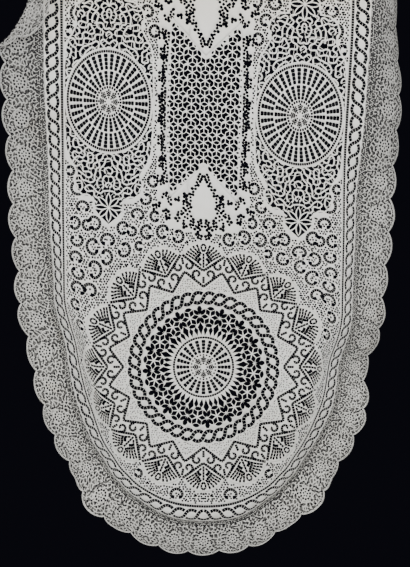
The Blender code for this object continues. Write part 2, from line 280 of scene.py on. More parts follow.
def leaned(scallop, out):
    step = np.clip((out - LEAN_START) / LEAN_STEP, 0, REACH.shape[1] - 1.001)
    low = step.astype(int)
    part = step - low
    place = np.asarray(scallop, float) * STEPS_PER_SCALLOP
    before = np.floor(place).astype(int)
    along = place - before
    found = []
    for table in (REACH, DEPTH):
        rows = [(before + k) % len(table) for k in (0, 1)]
        first, second = (table[row, low] * (1 - part) + table[row, low + 1] * part for row in rows)
        found.append(first * (1 - along) + second * along)
    return found


# %% Hang flat points, and turn one corner of the border over


def hung_flat(flat):
    scallop, out = place_on_edge(flat)
    reach, depth = leaned(scallop, out)
    near_edge = out > LEAN_START
    shift = np.where(near_edge, reach - out, 0)[:, None] * looped(OUTWARD, scallop)
    u, v = (flat + shift).T
    at_top = risen(flat[:, 1], *TOP_RISE)
    in_rim = risen(out, LEAN_START, 0)
    skew = risen(flat[:, 1], *FIELD_SKEW_FADE) * (1 - in_rim) + risen(flat[:, 1], *RIM_SKEW_FADE) * in_rim
    wave = WAVE_HEIGHT * np.sin(2 * math.pi * (flat[:, 0] + 0.3 * flat[:, 1]) / WAVE_LENGTH)
    ripple = RIPPLE_HEIGHT * np.sin(2 * math.pi * scallop / RIPPLE_SCALLOPS) * risen(out, 0, HEM)
    back = np.where(near_edge, depth, 0) - TOP_FORWARD * at_top + wave + ripple
    return np.stack([u + TOP_ASIDE * at_top, back, v - SKEW * skew * u], 1)


TOP_MIDDLE = hung_flat(np.array([[0.0, FIELD_STRAIGHT + FIELD_END + HEM]]))[0]


def turned_over(flat):
    away = flat - FLAP_CENTRE
    far = np.linalg.norm(away, axis=1)
    beyond = np.maximum(FLAP_RADIUS - far, 0)
    bent = np.minimum(beyond, FLAP_FOLD * FLAP_TURN)
    straight = beyond - bent
    inward = FLAP_FOLD * np.sin(bent / FLAP_FOLD) + straight * math.cos(FLAP_TURN)
    lift = FLAP_FOLD * (1 - np.cos(bent / FLAP_FOLD)) + straight * math.sin(FLAP_TURN)
    moved = FLAP_CENTRE + away * ((FLAP_RADIUS - inward) / far)[:, None]
    return np.where(beyond[:, None] > 0, moved, flat), lift


def hang(flat, turn_corner=False):
    lift = np.zeros(len(flat))
    if turn_corner:
        flat, lift = turned_over(flat)
    points = hung_flat(flat) - TOP_MIDDLE
    points[:, 1] -= lift
    return points


# %% [markdown]
# ## The holes
# Cutwork is read by its holes, so the holes are what we draw. A hole has only four to eight sides,
# since there are tens of thousands. Each maker below returns many holes at once, as one array of
# shape holes x corners x 2.

# %% Small hole shapes
LEAF = ((0, 0), (0.25, 0.8), (0.5, 1), (0.75, 0.8), (1, 0))
KITE = ((0, 0), (0.5, 1), (1, 0))
BRICK = ((0, 0.8), (0.3, 1), (0.7, 1), (1, 0.8))


def ovals(centres, length, width, heading=0.0, sides=6):
    centres = np.asarray(centres, float).reshape(-1, 2)
    along = facing(np.broadcast_to(heading, len(centres)))[:, None]
    turn = (np.arange(sides) + 0.5) / sides * 2 * math.pi
    length = np.broadcast_to(length, len(centres))[:, None, None] / 2
    width = np.broadcast_to(width, len(centres))[:, None, None] / 2
    return centres[:, None] + along * length * np.cos(turn)[:, None] + crossing(along) * width * np.sin(turn)[:, None]


def petals(start, end, width, outline=LEAF):
    """Holes from start to end, as wide as the outline says: its rows give a share along and a share of the width."""
    start, end = (np.asarray(x, float).reshape(-1, 2) for x in (start, end))
    span = end - start
    along = span / np.linalg.norm(span, axis=1)[:, None]
    side = crossing(along) * np.broadcast_to(width, len(start))[:, None] / 2
    there = [start + span * t + side * w for t, w in outline]
    back = [start + span * t - side * w for t, w in reversed(outline) if w > 0]
    return np.stack(there + back, 1)[:, ::-1]


def measured(curve, closed=False):
    """The curve as an array, closed on request, and how far along it each of its points lies."""
    curve = np.asarray(curve, float)
    if closed:
        curve = np.concatenate([curve, curve[:1]])
    return curve, np.concatenate([[0], np.cumsum(np.linalg.norm(np.diff(curve, axis=0), axis=1))])


def walked(curve, travelled, at):
    return np.stack([np.interp(at, travelled, curve[:, k]) for k in (0, 1)], -1)


def paced(curve, pitch):
    """Places along a curve a pitch apart, and which way the curve heads there."""
    curve, travelled = measured(curve)
    count = max(1, round(travelled[-1] / pitch))
    at = (np.arange(count) + 0.5) / count * travelled[-1]
    way = walked(curve, travelled, at + 0.1 * pitch) - walked(curve, travelled, at - 0.1 * pitch)
    return walked(curve, travelled, at), np.arctan2(way[:, 1], way[:, 0])


def beads(curve, pitch, length, width, closed=False):
    """A row of short gaps that follow a curve, with fine bars left between them."""
    curve, travelled = measured(curve, closed)
    count = max(1, round(travelled[-1] / pitch))
    step = travelled[-1] / count
    ends = ((np.arange(count) + 0.5)[:, None] + np.array([-0.5, 0.5]) * length / pitch) * step
    place = walked(curve, travelled, ends)
    ahead = walked(curve, travelled, ends + 0.25 * step) - walked(curve, travelled, ends - 0.25 * step)
    straight = np.broadcast_to(place[:, 1:] - place[:, :1], place.shape)

    def corners(way):
        side = crossing(way / np.maximum(np.linalg.norm(way, axis=-1, keepdims=True), 1e-12)) * width / 2
        left, right = place + side, place - side
        return np.stack([left[:, 0], right[:, 0], right[:, 1], left[:, 1]], 1)

    made = corners(ahead)
    # where the curve turns so sharply that the sides would cross, the gap is drawn straight
    sides = np.roll(made, -1, axis=1) - made
    turns = sides[..., 0] * np.roll(sides[..., 1], -1, axis=1) - sides[..., 1] * np.roll(sides[..., 0], -1, axis=1)
    least = 0.02 * width * length
    crossed = ~((turns > least).all(1) | (turns < -least).all(1))
    made[crossed] = corners(straight)[crossed]
    return made[np.linalg.norm(straight[:, 0], axis=-1) > 0.3 * length]


# %% Winding stripes, and holes along them


def striped_surface(width, height, wave, seed, rounds, mirrored_across=True):
    """A surface of winding stripes, a wave apart, on points one apart. Few rounds leave it restless."""
    pick = np.random.default_rng(seed)
    sheet = pick.normal(0, 0.3, (height, width))
    across, along = np.meshgrid(np.fft.fftfreq(width), np.fft.fftfreq(height))
    away = (across**2 + along**2) * wave**2 - 1
    damp = 1 / (1 + 0.6 * (1.6 * away**2 - 0.9))
    for _ in range(rounds):
        sheet = np.real(np.fft.ifft2(np.fft.fft2(sheet - 0.6 * sheet**3) * damp))
    half = sheet[:, : width // 2]
    return np.concatenate([half, half[:, ::-1]], 1) if mirrored_across else sheet


def level_lines(sheet):
    """The curves where the surface crosses zero, followed from square to square."""
    links = {}
    above = sheet > 0
    for v in range(sheet.shape[0] - 1):
        for u in range(sheet.shape[1] - 1):
            corners = [(u, v), (u + 1, v), (u + 1, v + 1), (u, v + 1)]
            crossed = []
            for first, second in zip(corners, corners[1:] + corners[:1]):
                if above[first[::-1]] != above[second[::-1]]:
                    crossed.append(tuple(sorted((first, second))))
            for one, other in zip(crossed[::2], crossed[1::2]):
                links.setdefault(one, []).append(other)
                links.setdefault(other, []).append(one)
    lines = []
    ends_first = sorted(links, key=lambda key: len(links[key]))
    seen = set()
    for start in ends_first:
        if start in seen:
            continue
        line, here = [], start
        while here is not None:
            seen.add(here)
            (u0, v0), (u1, v1) = here
            a, b = sheet[v0, u0], sheet[v1, u1]
            share = a / (a - b)
            line.append((u0 + (u1 - u0) * share, v0 + (v1 - v0) * share))
            here = next((near for near in links[here] if near not in seen), None)
        lines.append(np.array(line))
    return [line for line in lines if len(line) > 5]


def read_between(sheet, u, v):
    low_u = np.clip(np.floor(u).astype(int), 0, sheet.shape[1] - 2)
    low_v = np.clip(np.floor(v).astype(int), 0, sheet.shape[0] - 2)
    part_u, part_v = u - low_u, v - low_v
    top = sheet[low_v, low_u] * (1 - part_u) + sheet[low_v, low_u + 1] * part_u
    bottom = sheet[low_v + 1, low_u] * (1 - part_u) + sheet[low_v + 1, low_u + 1] * part_u
    return top * (1 - part_v) + bottom * part_v


def spaced(points, order, gap, repeat=1e6):
    """Keeps points, best first, that stand at least the gap from those kept, also across the repeat."""
    kept = []
    for k in order:
        away = np.abs(points[kept] - points[k]) if kept else np.ones((1, 2)) * 1e3
        away[:, 0] = np.minimum(away[:, 0], np.abs(repeat - away[:, 0]))
        if (away**2).sum(1).min() > gap * gap:
            kept.append(k)
    return np.array(kept)


def winding_holes(width, height, wave, seed, gap, deepest):
    """Places for small holes along the valleys of a striped surface, with the way each valley runs."""
    fine, rounds = 3, 5
    sheet = striped_surface(width * fine, height * fine, wave * fine, seed, rounds, False)
    slope_v, slope_u = np.gradient(sheet)
    points = lattice(np.arange(0, width, 0.5), np.arange(0, height, 0.5))
    row, column = (points[:, 1] * fine).astype(int), (points[:, 0] * fine).astype(int)
    depth = sheet[row, column]
    order = [k for k in np.argsort(depth, kind="stable") if depth[k] < deepest]
    kept = spaced(points, order, gap, width)
    heading = np.arctan2(slope_v[row, column], slope_u[row, column])[kept] + math.pi / 2
    return np.concatenate([points[kept], heading[:, None]], 1)


# %% [markdown]
# ## From holes to cloth
# A Boolean for each hole would take hours. A constrained triangulation takes the outline and every
# hole as closed loops and fills only what lies between them, in one go. The same call merges
# overlapping strips, which suits narrow tape. Solidify then gives the sheet its thickness.

# %% Fill, hang and thicken
MADE = []
# The frame takes no sheet with less cloth than 0.3 of its flat size. The net, the stars and the ground have less
# cloth than 0.3 of their flat size, so the area stated for them is this least share, and more than they have.
LEAST_SHARE = 0.301


def counterclockwise(loop):
    """The loop turned so that its inside is on the left, which the fill goes by."""
    u, v = loop.T
    return loop if (u * np.roll(v, -1) - v * np.roll(u, -1)).sum() > 0 else loop[::-1]


def triangulated(loops, extra, keep):
    """Points and triangles of what the loops bound, where keep approves of the loops a triangle is in."""
    loops = [counterclockwise(loop) for loop in loops]
    points = np.concatenate([*loops, np.reshape(extra, (-1, 2))])
    faces, first = [], 0
    for loop in loops:
        faces.append(list(range(first, first + len(loop))))
        first += len(loop)
    flat, _, triangles, _, _, inside_of = delaunay_2d_cdt([Vector(p) for p in points], [], faces, 1, 1e-7)
    return np.array(flat), np.array([t for t, loop in zip(triangles, inside_of) if keep(loop)])


def area_of(flat, triangles):
    a, b, c = (flat[triangles[:, k]] for k in range(3))
    first, second = b - a, c - a
    return float(np.abs(first[:, 0] * second[:, 1] - first[:, 1] * second[:, 0]).sum() / 2)


def cloth_piece(name, flat, triangles, node, slot, size=None, thickness=0.0011, turn_corner=False):
    """A hung piece of the cloth, with its flat place kept as its UV map, and its area of cloth printed."""
    used, index = np.unique(triangles, return_inverse=True)
    flat, triangles = flat[used], index.reshape(-1, 3)
    mesh = bpy.data.meshes.new(name)
    mesh.from_pydata(hang(flat, turn_corner).tolist(), [], triangles.tolist())
    uv = mesh.uv_layers.new(name="flat")
    uv.data.foreach_set("uv", flat[triangles.ravel()].astype(np.float32).ravel())
    mesh.shade_smooth()
    mesh.materials.append(FINISHES[slot])
    if name.startswith("border"):
        share = mesh.attributes.new("open mesh", "FLOAT", "POINT")
        share.data.foreach_set("value", worked_share(flat).astype(np.float32))
    piece = bpy.data.objects.new(name, mesh)
    bpy.context.collection.objects.link(piece)
    wall = piece.modifiers.new("thickness", "SOLIDIFY")
    wall.thickness = thickness
    wall.offset = 0
    spread = np.ptp(flat, axis=0) if size is None else np.array(size)
    net = area_of(flat, triangles)
    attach(piece, "root")
    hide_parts(node)
    stated = min(max(net, LEAST_SHARE * spread.prod()), spread.prod())
    MADE.append(piece)
    print(f"{name}: {len(triangles)} flat triangles, {net:.4f} m2 of cloth, stated as {stated:.4f}")


def pierced(outline, insets, holes, step=0.02, clear=0.006):
    """A sheet with an outline, insets left out and holes cut, with enough points inside to bend."""
    rims = [outline, *insets]
    cuts = [hole for group in holes for hole in group]
    low, high = outline.min(0), outline.max(0)
    grid = lattice(np.arange(low[0], high[0], step), np.arange(low[1], high[1], step))
    grid = grid[inside(grid, outline)]
    for inset in insets:
        grid = grid[~inside(grid, inset)]
    rim_points = np.concatenate(rims + [group.reshape(-1, 2) for group in holes])
    grid = grid[distance_to(grid, rim_points) > clear]
    return triangulated(rims + cuts, grid, lambda loop: list(loop) == [0])


def inside(points, loop):
    """True for each point that lies inside a closed loop."""
    found = np.zeros(len(points), bool)
    u, v = points.T
    for (u0, v0), (u1, v1) in zip(loop, np.roll(loop, -1, axis=0)):
        if v0 == v1:
            continue
        spans = (v0 > v) != (v1 > v)
        found ^= spans & (u < (u1 - u0) * (v - v0) / (v1 - v0) + u0)
    return found


def distance_to(points, others):
    tree = kdtree.KDTree(len(others))
    for index, (u, v) in enumerate(others):
        tree.insert((u, v, 0), index)
    tree.balance()
    return np.array([tree.find((u, v, 0))[2] for u, v in points])


def grown(loop, gap):
    """The loop with each side moved out by the gap."""
    sides = np.roll(loop, -1, axis=0) - loop
    sides /= np.linalg.norm(sides, axis=1)[:, None]
    out = np.stack([sides[:, 1], -sides[:, 0]], 1)
    before = np.roll(out, 1, axis=0)
    return loop + (out + before) * gap / (1 + (out * before).sum(1))[:, None]


# %% [markdown]
# ## Linen
# Close to, the cloth is a plain weave with a soft, dry surface; from a step away it is old white
# linen that has gone ivory in places. The weave is two crossed waves on the flat map, fed to a bump.
# Two noises tint it, and one of them is only seen where it is strongest, as a faint stain. Near the top a warm tint
# is painted on, for the warm lamplight that falls there.

# %% A small class for shader maths


class Shade:
    """A socket that sums, products and comparisons can be written with."""

    def __init__(self, tree, socket):
        self.tree = tree
        self.socket = socket

    def node(self, kind, settings=None, **sockets):
        made = self.tree.nodes.new(kind)
        for name, value in (settings or {}).items():
            setattr(made, name, value)
        for name, value in sockets.items():
            key = int(name[1:]) if name[1:].isdigit() else name.replace("_", " ")
            if isinstance(value, Shade):
                self.tree.links.new(value.socket, made.inputs[key])
            else:
                made.inputs[key].default_value = value
        return made

    def maths(self, operation, *values):
        sockets = {f"s{k}": value for k, value in enumerate(values)}
        return Shade(self.tree, self.node("ShaderNodeMath", {"operation": operation}, **sockets).outputs[0])

    def __add__(self, other):
        return self.maths("ADD", self, other)

    def __sub__(self, other):
        return self.maths("SUBTRACT", self, other)

    def __rsub__(self, other):
        return self.maths("SUBTRACT", other, self)

    def __mul__(self, other):
        return self.maths("MULTIPLY", self, other)

    __radd__ = __add__
    __rmul__ = __mul__

    def between(self, low, high):
        """From 0 at low to 1 at high, held at both ends."""
        made = self.node("ShaderNodeMapRange", {"clamp": True}, Value=self, From_Min=low, From_Max=high)
        return Shade(self.tree, made.outputs[0])

    def mixed(self, first, second):
        """From the first colour to the second as this value goes from 0 to 1."""
        made = self.node("ShaderNodeMix", {"data_type": "RGBA"}, s0=self, s6=first, s7=second)
        return Shade(self.tree, made.outputs[2])


# %% Linen finishes
STAIN = (0.42, 0.36, 0.25, 1)
# the warm tint of painted lamplight near the top of the cloth
WARM_LAMPLIGHT = (0.72, 0.67, 0.56, 1)
BETWEEN_THREADS = (0.35, 0.33, 0.29, 1)
SHADED = (0.34, 0.34, 0.33, 1)


def linen(name, light, aged, stains, thread=0.0011, sheer=0.0):
    """Old linen of two colours. A sheer one is also pierced by a mesh too fine to cut."""
    material = bpy.data.materials.new(name)
    material.use_nodes = True
    tree = material.node_tree
    surface = tree.nodes["Principled BSDF"]
    start = Shade(tree, None)
    place = start.node("ShaderNodeTexCoord")
    body, flat = Shade(tree, place.outputs["Object"]), Shade(tree, place.outputs["UV"])

    def noise(where, scale, detail=3.0):
        made = start.node("ShaderNodeTexNoise", None, Vector=where, Scale=scale, Detail=detail, Roughness=0.55)
        return Shade(tree, made.outputs["Fac"])

    def ribs(direction):
        settings = {"wave_type": "BANDS", "bands_direction": direction}
        sockets = {"Vector": flat, "Scale": 0.314 / thread, "Distortion": 0.6, "Detail": 1.0}
        made = start.node("ShaderNodeTexWave", settings, **sockets)
        return Shade(tree, made.outputs["Fac"])

    weave = ribs("X") * 0.5 + ribs("Y") * 0.5
    slub = noise(flat, 240.0)
    patchy = noise(body, 2.2).between(0.38, 0.66)
    mottled = noise(body, 14.0, 4.0).between(0.35, 0.7)
    stain = noise(body, 5.5, 2.0).between(0.62, 0.75) * stains
    height = Shade(tree, start.node("ShaderNodeSeparateXYZ", None, s0=body).outputs["Z"])
    # painted light: from here up the linen is tinted warm, for the warm lamplight on the top of the cloth
    painted_lamplight = height.between(-1.6, -1.3) * 0.75
    colour = (patchy * 0.6 + mottled * 0.25).mixed((*light, 1), (*aged, 1))
    colour = stain.mixed(colour, STAIN)
    colour = painted_lamplight.mixed(colour, WARM_LAMPLIGHT)
    darker = (slub * 0.5 + weave * 0.5).between(0.2, 0.8)
    colour = (0.16 * (1 - darker)).mixed(colour, BETWEEN_THREADS)
    rough = 0.82 + mottled * 0.14
    tree.links.new(rough.socket, surface.inputs["Roughness"])
    surface.inputs["Sheen Weight"].default_value = 0.15
    surface.inputs["Sheen Roughness"].default_value = 0.5
    surface.inputs["Specular IOR Level"].default_value = 0.25
    raised = start.node("ShaderNodeBump", None, Height=weave * 0.8 + slub * 0.4, Strength=0.35, Distance=0.0006)
    tree.links.new(raised.outputs["Normal"], surface.inputs["Normal"])
    if sheer:
        bent = start.node("ShaderNodeTexNoise", None, Vector=flat, Scale=45.0, Detail=1.0)
        bend = Shade(tree, bent.outputs["Color"])
        shifted = start.node("ShaderNodeVectorMath", {"operation": "SCALE"}, s0=bend, Scale=0.012)
        shift = Shade(tree, shifted.outputs[0])
        moved = Shade(tree, start.node("ShaderNodeVectorMath", {"operation": "ADD"}, s0=flat, s1=shift).outputs[0])
        settings = {"feature": "DISTANCE_TO_EDGE", "voronoi_dimensions": "2D"}
        cells = start.node("ShaderNodeTexVoronoi", settings, Vector=moved, Scale=66.0)
        open_mesh = Shade(tree, cells.outputs["Distance"]).between(0.07, 0.19)
        share = start.node("ShaderNodeAttribute", {"attribute_name": "open mesh"})
        solid = 1 - sheer * open_mesh * Shade(tree, share.outputs["Fac"])
        # the border hangs further back in shade near the top, and at the foot
        dim = height.between(-2.9, -1.5) * 0.85 + (1 - height.between(-3.62, -3.38)) * 0.6
        colour = dim.mixed(colour, SHADED)
        tree.links.new(solid.socket, surface.inputs["Alpha"])
    tree.links.new(colour.socket, surface.inputs["Base Color"])
    return material


FINISHES = {
    "field_linen": linen("field linen", (0.88, 0.88, 0.85), (0.80, 0.79, 0.74), 0.15),
    "braid_linen": linen("braid linen", (0.88, 0.88, 0.85), (0.79, 0.78, 0.73), 0.2, thread=0.0009),
    "border_lace": linen("border lace", (0.74, 0.74, 0.70), (0.62, 0.61, 0.57), 0.5, thread=0.0013, sheer=0.9),
    "net_lace": linen("net lace", (0.88, 0.88, 0.85), (0.82, 0.81, 0.77), 0.1, thread=0.0013),
    "wheel_lace": linen("wheel lace", (0.88, 0.88, 0.85), (0.80, 0.79, 0.75), 0.15),
    "star_linen": linen("star linen", (0.84, 0.84, 0.80), (0.76, 0.75, 0.70), 0.2),
    "rose_lace": linen("rose lace", (0.87, 0.87, 0.83), (0.79, 0.78, 0.73), 0.2),
}
print("finishes:", ", ".join(FINISHES))

# %% [markdown]
# ## The camera, the floor and the light
# The camera stands level, low before the cloth. The world is near black, so that every hole reads
# dark, as it does against a dark wall. The floor is pale and plain, and lies below the picture, so
# that the hem shows against the dark too. A large soft lamp stands on each side of the camera, one
# from above keeps the top edge from falling off, and one behind lights the back.

# %% Camera
PHOTO_HEIGHT = 567  # pixels
FOCAL_LENGTH = 600  # of those pixels
camera = bpy.data.cameras.new("camera")
camera.sensor_width = 36.0
camera.lens = camera.sensor_width * FOCAL_LENGTH / PHOTO_HEIGHT
camera_object = bpy.data.objects.new("camera", camera)
bpy.context.collection.objects.link(camera_object)
camera_object.location = (-0.009, -2.3275, -2.510)
camera_object.rotation_euler = (math.pi / 2, 0, 0)
bpy.context.scene.camera = camera_object

# %% Floor
FLOOR_HALF = (3.0, 2.4)
FLOOR_BACK = 0.6
FLOOR_BELOW = 0.45
floor_form = bmesh.new()
bmesh.ops.create_grid(floor_form, x_segments=8, y_segments=8, size=1.0)
bmesh.ops.scale(floor_form, vec=(*FLOOR_HALF, 1), verts=floor_form.verts)
floor_middle = (0, FLOOR_BACK - FLOOR_HALF[1], CAD_BOX[0].z - FLOOR_BELOW)
bmesh.ops.translate(floor_form, vec=floor_middle, verts=floor_form.verts)
floor_mesh = bpy.data.meshes.new("floor")
floor_form.to_mesh(floor_mesh)
floor_form.free()
floor = bpy.data.objects.new("floor", floor_mesh)
bpy.context.collection.objects.link(floor)
floor_paint = bpy.data.materials.new("floor paint")
floor_paint.use_nodes = True
floor_surface = floor_paint.node_tree.nodes["Principled BSDF"]
floor_surface.inputs["Base Color"].default_value = (0.62, 0.61, 0.59, 1)
floor_surface.inputs["Roughness"].default_value = 0.8
floor_mesh.materials.append(floor_paint)

# %% Lamps and the dark world


def soft_lamp(name, place, aim, size, power, colour=(1, 1, 1)):
    lamp = bpy.data.lights.new(name, "AREA")
    lamp.shape = "RECTANGLE"
    lamp.size, lamp.size_y = size
    lamp.energy = power
    lamp.color = colour
    stand = bpy.data.objects.new(name, lamp)
    bpy.context.collection.objects.link(stand)
    stand.location = place
    stand.rotation_euler = (Vector(aim) - Vector(place)).to_track_quat("-Z", "Y").to_euler()


soft_lamp("left lamp", (-2.6, -3.4, -1.2), (0.2, 0, -2.4), (1.6, 2.6), 165)
soft_lamp("right lamp", (2.6, -3.2, -0.9), (-0.2, 0, -2.2), (1.6, 2.6), 150)
soft_lamp("top lamp", (0, -2.4, 0.9), (0, 0, -1.2), (2.6, 1.2), 75, (1, 0.97, 0.92))
soft_lamp("back lamp", (0, 3.2, -1.2), (0, 0, -2), (2.4, 2.4), 60)

world = bpy.data.worlds.new("dark room")
bpy.context.scene.world = world
world.use_nodes = True
world.node_tree.nodes["Background"].inputs["Color"].default_value = (0.0035, 0.0035, 0.006, 1)
world.node_tree.nodes["Background"].inputs["Strength"].default_value = 1.0

# %% [markdown]
# ## The wheels
# Each wheel is two rings of long slots, a ladder of fine bars across every slot, a dotted rim and a
# small flower at its hub. On the real cloth a wheel is a little taller than wide, so we draw it round
# and squeeze it last. A slot is four short bricks in a row, and the bars are what is left between.

# %% Wheel holes
WHEEL_DRAWN = 49.5


def spokes(count, inner, outer, width, turn=0.0, outline=LEAF):
    """Holes that point away from the middle, evenly round it."""
    out = facing(around(count, turn))
    return petals(out * inner, out * outer, width, outline)


def ladder(count, inner, outer, width, rungs, bar, turn=0.0):
    """Slots that point away from the middle and widen outwards, each crossed by fine bars."""
    made = []
    cell = (outer - inner + bar) / (rungs + 1)
    for rung in range(rungs + 1):
        start = inner + rung * cell
        across = width * (0.78 + 0.22 * rung / rungs)
        made.append(spokes(count, start, start + cell - bar, across, turn, BRICK))
    return np.concatenate(made)


def dotted_ring(radius, count, length, width):
    angle = around(count)
    half = facing(angle + math.pi / 2) * length / 2
    return petals(facing(angle) * radius - half, facing(angle) * radius + half, width, BRICK)


def small_flower(reach):
    """Eight petals, each of three rows of small gaps, with threads left between them."""
    rows = [(0, 3.0, 1.0, 3), (0.21, 5.4, 0.86, 2), (-0.21, 5.4, 0.86, 2)]
    made = [ladder(8, inner, reach * share, 2.2, rungs, 0.3, turn) for turn, inner, share, rungs in rows]
    return np.concatenate(made)


def wheel_holes():
    """All holes of one wheel, in squares from its middle, as if its rim were WHEEL_DRAWN squares out."""
    outer, inner = WHEEL_SLOTS
    return [
        dotted_ring(47.4, 116, 2.36, 2.8),
        ladder(outer, 30.4, 45.3, 4.6, 3, 0.14),
        ladder(inner, 15.6, 29.2, 4.2, 3, 0.14),
        dotted_ring(13.8, 30, 2.2, 2.6),
        small_flower(12.2),
    ]


def wheel_middle(side):
    return np.array([side * WHEEL_ACROSS, WHEEL_ALONG])


RIM = facing(around(96))
for name, side in (("left", -1), ("right", 1)):
    middle = wheel_middle(side)
    size = np.array([WHEEL_HALF_WIDTH, WHEEL_HALF_HEIGHT])
    cuts = [group / WHEEL_DRAWN * size + middle for group in wheel_holes()]
    flat, triangles = pierced(RIM * (size - SEAM_GAP / 2) + middle, [], cuts)
    cloth_piece("wheel_lace_" + name, flat, triangles, "wheel_" + name, "wheel_lace")

# %% [markdown]
# ## The net panel
# The net between the wheels is all stars. Six kite-shaped gaps stand round each knot, and a leaf-
# shaped gap lies along each side of its hexagon, shared with the next star. We chart one cell and
# lay it out in columns, half a cell up in every second column.

# %% Net holes and the panel's outline


def panel_outline():
    leg_width = PANEL_HALF_WIDTH - PANEL_TAPER
    quarter = [
        (PANEL_HALF_WIDTH, 0),
        (PANEL_HALF_WIDTH - PANEL_TAPER / 4, PANEL_LEG / 2),
        (leg_width, PANEL_LEG),
        (leg_width / 2, (PANEL_LEG + PANEL_NOTCH) / 2),
    ]
    top = quarter + [(0, PANEL_NOTCH)] + [(-u, v) for u, v in reversed(quarter)]
    return np.array(top + [(-u, -v) for u, v in top[1:-1]])


def kept_inside(holes, fits):
    """The holes that fit, and those that cross the edge drawn as much smaller as makes them fit."""
    within = fits(holes)
    holes, within = holes[within.any(1)], within[within.any(1)]
    towards = (holes * within[..., None]).sum(1, keepdims=True) / within.sum(1)[:, None, None]
    kept = []
    for share in (1.0, 0.8, 0.6, 0.42):
        drawn = towards + (holes - towards) * share if share < 1 else holes
        fit = fits(drawn).all(1)
        kept.append(drawn[fit])
        holes, towards = holes[~fit], towards[~fit]
    return np.concatenate(kept)


def net_holes():
    cell = NET_CELL
    kites, leaves = [], []
    for column in range(-5, 6):
        for row in range(-8, 9):
            knot = np.array([column * 1.5, (row + column % 2 / 2) * math.sqrt(3)]) * cell
            knot[1] += 0.004 * math.sin(knot[0] * 40)
            out = facing(np.arange(6) * math.pi / 3)
            kites.append(petals(knot + out * cell * 0.11, knot + out * cell * 0.9, cell * 0.51, KITE))
            turn = np.arange(3) * math.pi / 3 + math.pi / 6
            ends = [knot + facing(turn + side * math.pi / 6) * cell for side in (-1, 1)]
            near, far = ends[0] * 0.88 + ends[1] * 0.12, ends[0] * 0.12 + ends[1] * 0.88
            leaves.append(petals(near, far, cell * 0.41))
    rim = grown(panel_outline(), -0.0024)

    def fits(holes):
        return inside(holes.reshape(-1, 2), rim).reshape(holes.shape[:2])

    return [kept_inside(np.concatenate(group), fits) for group in (kites, leaves)]


flat, triangles = pierced(grown(panel_outline(), -SEAM_GAP / 2), [], net_holes())
cloth_piece("net_lace", flat, triangles, "net_panel", "net_lace")

# %% [markdown]
# ## The braid band
# A braid runs round the whole field: a chain of plain eyes that two curving rows of holes wind
# between. It turns the other way at the middle of the foot, of the head and of each side. We draw one
# curve of holes as an S, and repeat it at equal steps of length along the band.

# %% Curves wound round the band
EYES = 156
BRAID_MIDDLE = 11.3 * SQUARE


def wound(number, count, out):
    """Scallop numbers of places round the cloth that divide its length, at a distance out, into equal parts."""
    loop = EDGE + OUTWARD * out
    steps = np.linalg.norm(np.roll(loop, -1, axis=0) - loop, axis=1)
    travelled = np.concatenate([[0], np.cumsum(steps)])
    scallops = np.arange(len(EDGE) + 1) / STEPS_PER_SCALLOP
    return np.interp(np.asarray(number) / count * travelled[-1], travelled, scallops)


def twist_curve(number, half, hand):
    """The S round two eyes: hooked in at both ends, and steep where it crosses between them."""
    way = np.linspace(-1, 1, 41)
    along = number + hand * 0.93 * way * np.abs(way) ** 0.39
    return along, half * np.sin(way * math.pi * 0.75)


def braid_holes():
    quarter_eyes, half, curves = EYES // 4, 5.5, []
    for eye in range(EYES):
        quarter, since = divmod(eye, quarter_eyes)
        hand = 1 if quarter % 2 == 0 else -1
        along, across = twist_curve(eye + 0.5, half, hand)
        if since == 0:
            # where the twist turns the other way, this eye's second side is an arc of its own
            turn = np.linspace(-1, 1, 21)
            curves.append((eye + 0.46 * turn, hand * half * (1 - 0.4 * turn**2)))
            across, along = across[along >= eye], along[along >= eye]
        if since == quarter_eyes - 1:
            across, along = across[along <= eye + 1], along[along <= eye + 1]
        curves.append((along, across))
    twists = []
    for along, across in curves:
        place = beside_edge(wound(along % EYES, EYES, BRAID_MIDDLE), BRAID_MIDDLE + across * SQUARE)
        twists.append(beads(place, 2.9 * SQUARE, 2.75 * SQUARE, 3.5 * SQUARE))
    edge_line = beads(ring(1.7 * SQUARE, 24), 2.4 * SQUARE, 2.22 * SQUARE, 2.8 * SQUARE, True)
    return [np.concatenate(twists), edge_line]


def ring(out, per_scallop):
    scallop = np.arange(SCALLOPS * per_scallop) / per_scallop
    return beside_edge(scallop, out)


flat, triangles = pierced(ring(BRAID_WIDTH - SEAM_GAP / 2, 8), [ring(SEAM_GAP / 2, 8)], braid_holes(), 0.012)
cloth_piece("braid", flat, triangles, "braid_band", "braid_linen", size=(BRAID_WIDTH, 7.7))

# %% [markdown]
# ## The round medallions
# In the middle of each star is a rose: a flower, a ring of ladder slots, a ring of starry net and a
# braided ring. The starry net is sixteen of the panel's cells bent round a circle, with a large
# diamond between each two. Its cells are charted along the circle's own radius.

# %% Rose holes
CELLS = 16


def bent_cell_holes():
    """The starry net round the rose, in squares from its middle."""
    made = []
    for index in range(CELLS):
        turn = ROSE_TURN + (index + 0.5) / CELLS * 2 * math.pi
        out = facing(np.array(turn))
        knot = out * 50.3
        corner = np.array([turn + math.pi / 6 + k * math.pi / 3 for k in range(6)])
        made.append(petals(knot + facing(corner) * 1.1, knot + facing(corner) * 9.0, 5.1, KITE))
        side = corner + math.pi / 6
        made.append(petals(knot + facing(side - 0.44) * 9.3, knot + facing(side + 0.44) * 9.3, 4.1))
        half = facing(np.array(turn + math.pi / CELLS))
        made.append(petals(half * 32.0, half * 45.4, 6.0, ((0, 0), (0.6, 1), (1, 0))))
        made.append(petals(half * 51.4, half * 61.2, 5.2, ((0, 0), (0.7, 1), (1, 0.5))))
        for lean in (-1, 1):
            start, end = (facing(np.array(turn + lean * math.radians(k))) for k in (4.9, 3.5))
            made.append(petals(start * 31.4, end * 41.0, 4.4, ((0, 0), (0.64, 1), (1, 0))))
    return made


